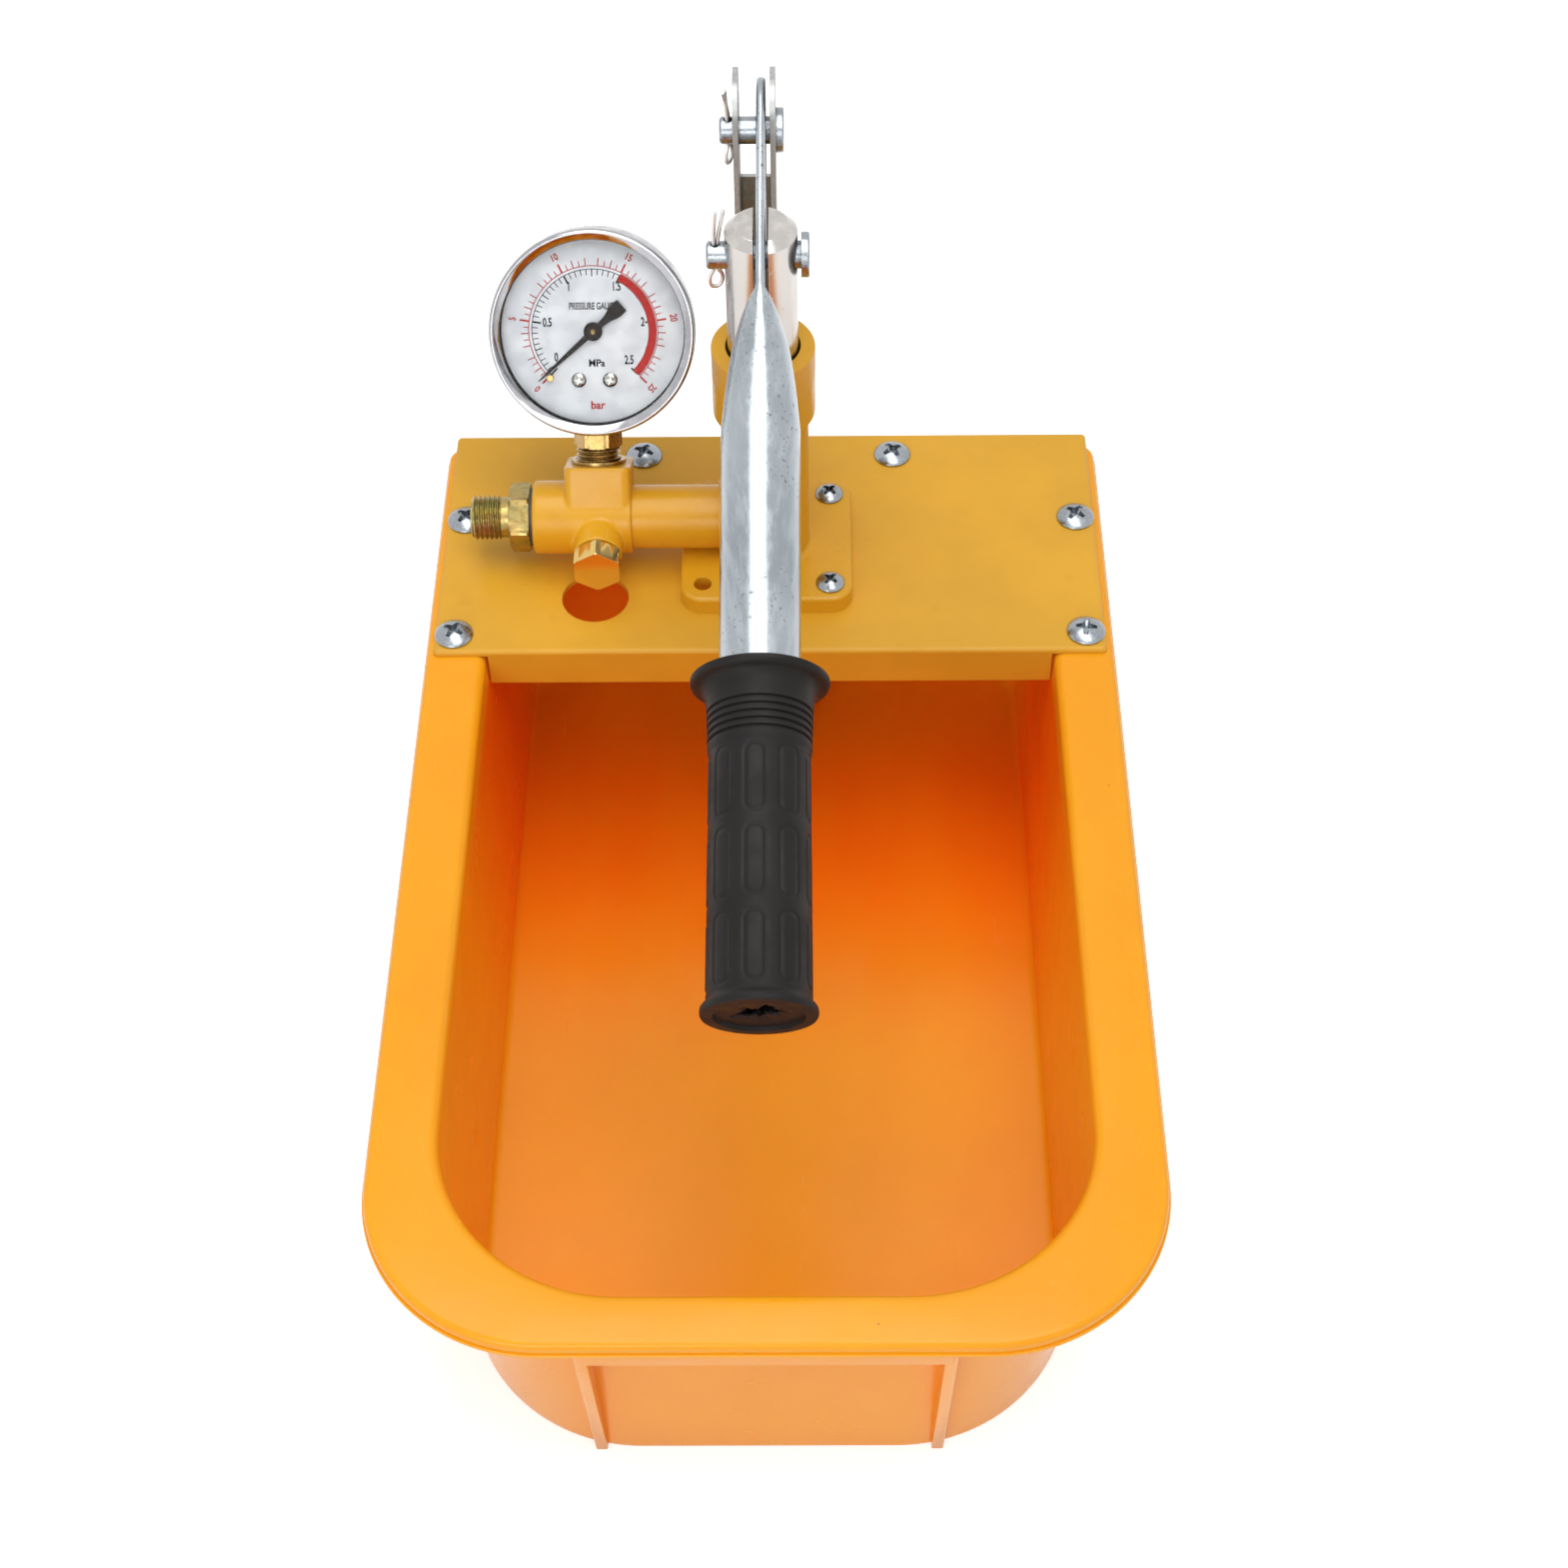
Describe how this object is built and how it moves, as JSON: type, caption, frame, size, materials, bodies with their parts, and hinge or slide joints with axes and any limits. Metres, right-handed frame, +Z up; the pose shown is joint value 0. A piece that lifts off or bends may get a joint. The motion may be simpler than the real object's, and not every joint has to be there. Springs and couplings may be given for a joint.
{
  "type": "hydrostatic test pump",
  "caption": "Hand-operated hydrostatic test pump: an open water tub under a sheet deck, a lever-worked plunger pump, a threaded outlet, a release screw and a pressure gauge.",
  "frame": {"origin": "centre of the tub's foot, on the floor", "axes": "+X to the right as seen from the handle's end, +Y from the handle towards the pump, +Z up"},
  "size_m": [0.215, 0.3399, 0.2422],
  "materials": {
    "tub_plastic": "glossy moulded orange-yellow",
    "deck_paint": "semi-gloss mustard paint",
    "casting_paint": "semi-gloss mustard paint",
    "zinc_steel": "bright zinc plate",
    "plunger_steel": "ground satin",
    "yellow_zinc": "yellow passivated zinc",
    "brass": "machined",
    "ball_steel": "polished",
    "black_rubber": "satin",
    "soft_washer": "dull",
    "chrome": "polished",
    "case_steel": "pressed sheet",
    "clear_glass": "clear",
    "dial_white": "white print ground",
    "pointer_black": "matt black",
    "suction_plastic": "moulded"
  },
  "bodies": {
    "base": {"base_nuts": "zinc_steel", "base_screws": "zinc_steel", "bourdon_tube": "brass", "deck_plate": "deck_paint", "deck_screws": "zinc_steel", "delivery_pipe": "casting_paint", "gauge_bezel": "chrome", "gauge_case": "case_steel", "gauge_dial": "dial_white", "gauge_dial_screws": "case_steel", "gauge_gasket": "black_rubber", "gauge_glass": "clear_glass", "gauge_socket": "brass", "gauge_stop_pin": "brass", "gauge_washer": "soft_washer", "inlet_seat": "brass", "inlet_stop": "brass", "link_base_cotter": "zinc_steel", "link_base_pin": "zinc_steel", "movement_frame": "brass", "outlet_nipple": "yellow_zinc", "outlet_seat": "brass", "outlet_stop": "brass", "outlet_washer": "soft_washer", "plunger_guide": "brass", "pump_body": "casting_paint", "release_packing": "black_rubber", "strainer": "suction_plastic", "suction_tube": "suction_plastic", "tank": "tub_plastic", "valve_block": "casting_paint"},
    "link": {"link": "zinc_steel", "link_top_pin": "zinc_steel", "link_top_cotter": "zinc_steel"},
    "lever": {"lever": "zinc_steel", "grip": "black_rubber"},
    "plunger": {"plunger": "plunger_steel", "plunger_seal": "black_rubber", "plunger_pin": "zinc_steel", "plunger_cotter": "zinc_steel"},
    "needle": {"release_needle": "plunger_steel"},
    "release": {"release_screw": "yellow_zinc"},
    "inlet_ball": {"inlet_ball": "ball_steel"},
    "outlet_ball": {"outlet_ball": "ball_steel"},
    "pointer": {"gauge_pointer": "pointer_black", "pinion": "brass"},
    "sector": {"sector_gear": "brass"}
  },
  "joints": [
    {"name": "link_rock", "type": "hinge", "parent": "base", "child": "link", "pos_m": [-0.003, 0.15, 0.12], "axis": [1, 0, 0], "range_deg": [0, 0.9]},
    {"name": "lever_swing", "type": "hinge", "parent": "link", "child": "lever", "pos_m": [-0.003, 0.15571, 0.22473], "axis": [-1, 0, 0], "range_deg": [0, 43]},
    {"name": "plunger_stroke", "type": "slide", "parent": "base", "child": "plunger", "axis": [0, 0, 1], "range_m": [0, 0.0308]},
    {"name": "release_lift", "type": "slide", "parent": "base", "child": "needle", "axis": [0, -1, 0], "range_m": [0, 0.00126]},
    {"name": "release_turn", "type": "hinge", "parent": "needle", "child": "release", "pos_m": [-0.0534, 0.095, 0.108], "axis": [0, -1, 0], "range_deg": [0, 360]},
    {"name": "inlet_ball_lift", "type": "slide", "parent": "base", "child": "inlet_ball", "axis": [0, 0, 1], "range_m": [0, 0.0025]},
    {"name": "outlet_ball_lift", "type": "slide", "parent": "base", "child": "outlet_ball", "axis": [-1, 0, 0], "range_m": [0, 0.0025], "stiffness_N_per_m": 50},
    {"name": "pointer_turn", "type": "hinge", "parent": "base", "child": "pointer", "pos_m": [-0.0534, 0.14653, 0.15846], "axis": [0, 0.848, -0.5299], "range_deg": [0, 265]},
    {"name": "sector_swing", "type": "hinge", "parent": "base", "child": "sector", "pos_m": [-0.0534, 0.1407, 0.14913], "axis": [0, 0.848, -0.5299], "range_deg": [-50, 0], "stiffness_Nm_per_rad": 0.014}
  ],
  "couplings": [
    {"joint": "link_rock", "follows": "lever_swing", "ratio": 0.020824},
    {"joint": "plunger_stroke", "follows": "lever_swing", "m_per_rad": 0.041016},
    {"joint": "release_lift", "follows": "release_turn", "m_per_rad": 0.00019894},
    {"joint": "pointer_turn", "follows": "sector_swing", "ratio": -5.2941}
  ]
}
